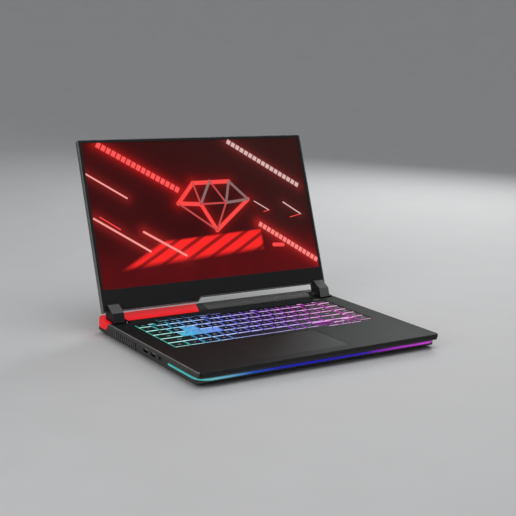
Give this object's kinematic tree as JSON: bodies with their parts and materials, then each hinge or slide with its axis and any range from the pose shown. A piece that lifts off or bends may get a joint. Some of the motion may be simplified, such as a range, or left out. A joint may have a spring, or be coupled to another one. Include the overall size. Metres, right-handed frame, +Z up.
{
  "type": "laptop computer",
  "caption": "Open gaming laptop computer with a leaning lid on drop hinges, sprung lit keys, a clicking touchpad, cooling fans, edge sockets and a light bar.",
  "frame": {"origin": "on the table, at the middle of the footprint of the whole object with its lid open", "axes": "+X to the user's right, +Y away from the user, +Z up"},
  "size_m": [0.354, 0.3282, 0.2416],
  "materials": {
    "deck_plastic": "fine soft-touch charcoal moulding",
    "tray_plastic": "fine textured dark grey moulding",
    "touch_surface": "smooth satin charcoal",
    "lid_aluminium": "dark grey anodised, brushed",
    "bezel_plastic": "fine matte charcoal moulding",
    "display": "lit screen, anti-glare",
    "red_plastic": "satin red moulding",
    "grey_plastic": "ribbed grey moulding",
    "hinge_cover": "satin grey paint",
    "light_guide": "lit diffuser",
    "key_plastic": "matte black keycap",
    "game_key_plastic": "clear keycap lit from below",
    "foot_rubber": "matte black rubber",
    "plated_steel": "nickel plated",
    "copper": "bare copper",
    "circuit_board": "green solder resist",
    "black_plastic": "plain black moulding"
  },
  "bodies": {
    "chassis": {"accent_strip": "red_plastic", "battery_pack": "black_plastic", "bottom_cover": "tray_plastic", "corner_cap_left": "red_plastic", "corner_cap_right": "grey_plastic", "fan_housing_left": "black_plastic", "fan_housing_right": "black_plastic", "fin_stack_left": "copper", "fin_stack_right": "copper", "front_foot_left": "foot_rubber", "front_foot_right": "foot_rubber", "hdmi_port": "plated_steel", "headphone_jack": "black_plastic", "heat_pipes": "copper", "hinge_bracket_left": "plated_steel", "hinge_bracket_right": "plated_steel", "keyboard_deck": "deck_plastic", "keyboard_plate": "plated_steel", "lan_port": "plated_steel", "light_bar": "light_guide", "memory_module": "circuit_board", "motherboard": "circuit_board", "power_inlet": "black_plastic", "rear_foot": "foot_rubber", "speaker_left": "black_plastic", "speaker_right": "black_plastic", "storage_module": "circuit_board", "usb_c_port": "plated_steel", "usb_port_left_front": "plated_steel", "usb_port_left_rear": "plated_steel", "usb_port_rear": "plated_steel", "vent_strip": "grey_plastic"},
    "lid": {"lid_cover": "lid_aluminium", "screen_bezel": "bezel_plastic", "display_panel": "display", "hinge_arm_left": "hinge_cover", "hinge_arm_right": "hinge_cover", "hinge_leaf_left": "plated_steel", "hinge_leaf_right": "plated_steel"},
    "arrow_key_down": {"arrow_key_down": "key_plastic"},
    "arrow_key_left": {"arrow_key_left": "key_plastic"},
    "arrow_key_right": {"arrow_key_right": "key_plastic"},
    "arrow_key_up": {"arrow_key_up": "key_plastic"},
    "function_keys": {"function_keys": "key_plastic"},
    "home_letter_keys": {"home_letter_keys": "key_plastic"},
    "hotkeys": {"hotkeys": "key_plastic"},
    "key_a": {"key_a": "game_key_plastic"},
    "key_d": {"key_d": "game_key_plastic"},
    "key_s": {"key_s": "game_key_plastic"},
    "key_w": {"key_w": "game_key_plastic"},
    "lower_letter_keys": {"lower_letter_keys": "key_plastic"},
    "modifier_keys": {"modifier_keys": "key_plastic"},
    "number_keys": {"number_keys": "key_plastic"},
    "space_bar": {"space_bar": "key_plastic"},
    "upper_letter_keys": {"upper_letter_keys": "key_plastic"},
    "touchpad": {"touchpad": "touch_surface"},
    "power_button": {"power_button": "grey_plastic"},
    "fan_wheel_left": {"fan_wheel_left": "black_plastic"},
    "fan_wheel_right": {"fan_wheel_right": "black_plastic"}
  },
  "joints": [
    {"name": "lid_hinge", "type": "hinge", "parent": "chassis", "child": "lid", "pos_m": [0, 0.07327, 0.0198], "axis": [1, 0, 0], "range_deg": [-20, 110.9]},
    {"name": "arrow_key_down_press", "type": "slide", "parent": "chassis", "child": "arrow_key_down", "axis": [0, 0, -1], "range_m": [0, 0.0015], "stiffness_N_per_m": 400, "springref_m": -0.0015},
    {"name": "arrow_key_left_press", "type": "slide", "parent": "chassis", "child": "arrow_key_left", "axis": [0, 0, -1], "range_m": [0, 0.0015], "stiffness_N_per_m": 400, "springref_m": -0.0015},
    {"name": "arrow_key_right_press", "type": "slide", "parent": "chassis", "child": "arrow_key_right", "axis": [0, 0, -1], "range_m": [0, 0.0015], "stiffness_N_per_m": 400, "springref_m": -0.0015},
    {"name": "arrow_key_up_press", "type": "slide", "parent": "chassis", "child": "arrow_key_up", "axis": [0, 0, -1], "range_m": [0, 0.0015], "stiffness_N_per_m": 400, "springref_m": -0.0015},
    {"name": "function_keys_press", "type": "slide", "parent": "chassis", "child": "function_keys", "axis": [0, 0, -1], "range_m": [0, 0.0015], "stiffness_N_per_m": 400, "springref_m": -0.0015},
    {"name": "home_letter_keys_press", "type": "slide", "parent": "chassis", "child": "home_letter_keys", "axis": [0, 0, -1], "range_m": [0, 0.0015], "stiffness_N_per_m": 400, "springref_m": -0.0015},
    {"name": "hotkeys_press", "type": "slide", "parent": "chassis", "child": "hotkeys", "axis": [0, 0, -1], "range_m": [0, 0.0012], "stiffness_N_per_m": 400, "springref_m": -0.0015},
    {"name": "key_a_press", "type": "slide", "parent": "chassis", "child": "key_a", "axis": [0, 0, -1], "range_m": [0, 0.0015], "stiffness_N_per_m": 400, "springref_m": -0.0015},
    {"name": "key_d_press", "type": "slide", "parent": "chassis", "child": "key_d", "axis": [0, 0, -1], "range_m": [0, 0.0015], "stiffness_N_per_m": 400, "springref_m": -0.0015},
    {"name": "key_s_press", "type": "slide", "parent": "chassis", "child": "key_s", "axis": [0, 0, -1], "range_m": [0, 0.0015], "stiffness_N_per_m": 400, "springref_m": -0.0015},
    {"name": "key_w_press", "type": "slide", "parent": "chassis", "child": "key_w", "axis": [0, 0, -1], "range_m": [0, 0.0015], "stiffness_N_per_m": 400, "springref_m": -0.0015},
    {"name": "lower_letter_keys_press", "type": "slide", "parent": "chassis", "child": "lower_letter_keys", "axis": [0, 0, -1], "range_m": [0, 0.0015], "stiffness_N_per_m": 400, "springref_m": -0.0015},
    {"name": "modifier_keys_press", "type": "slide", "parent": "chassis", "child": "modifier_keys", "axis": [0, 0, -1], "range_m": [0, 0.0015], "stiffness_N_per_m": 400, "springref_m": -0.0015},
    {"name": "number_keys_press", "type": "slide", "parent": "chassis", "child": "number_keys", "axis": [0, 0, -1], "range_m": [0, 0.0015], "stiffness_N_per_m": 400, "springref_m": -0.0015},
    {"name": "space_bar_press", "type": "slide", "parent": "chassis", "child": "space_bar", "axis": [0, 0, -1], "range_m": [0, 0.0015], "stiffness_N_per_m": 400, "springref_m": -0.0015},
    {"name": "upper_letter_keys_press", "type": "slide", "parent": "chassis", "child": "upper_letter_keys", "axis": [0, 0, -1], "range_m": [0, 0.0015], "stiffness_N_per_m": 400, "springref_m": -0.0015},
    {"name": "power_button_press", "type": "slide", "parent": "chassis", "child": "power_button", "axis": [0, 0, -1], "range_m": [0, 0.0008], "stiffness_N_per_m": 800, "springref_m": -0.001},
    {"name": "touchpad_click", "type": "hinge", "parent": "chassis", "child": "touchpad", "pos_m": [-0.022, -0.07563, 0.01795], "axis": [1, 0, 0], "range_deg": [0, 0.5], "stiffness_Nm_per_rad": 4, "springref_deg": -0.57},
    {"name": "fan_spin_left", "type": "hinge", "parent": "chassis", "child": "fan_wheel_left", "pos_m": [-0.104, 0.03237, 0.0084], "axis": [0, 0, 1], "continuous": true},
    {"name": "fan_spin_right", "type": "hinge", "parent": "chassis", "child": "fan_wheel_right", "pos_m": [0.104, 0.03237, 0.0084], "axis": [0, 0, 1], "continuous": true}
  ]
}
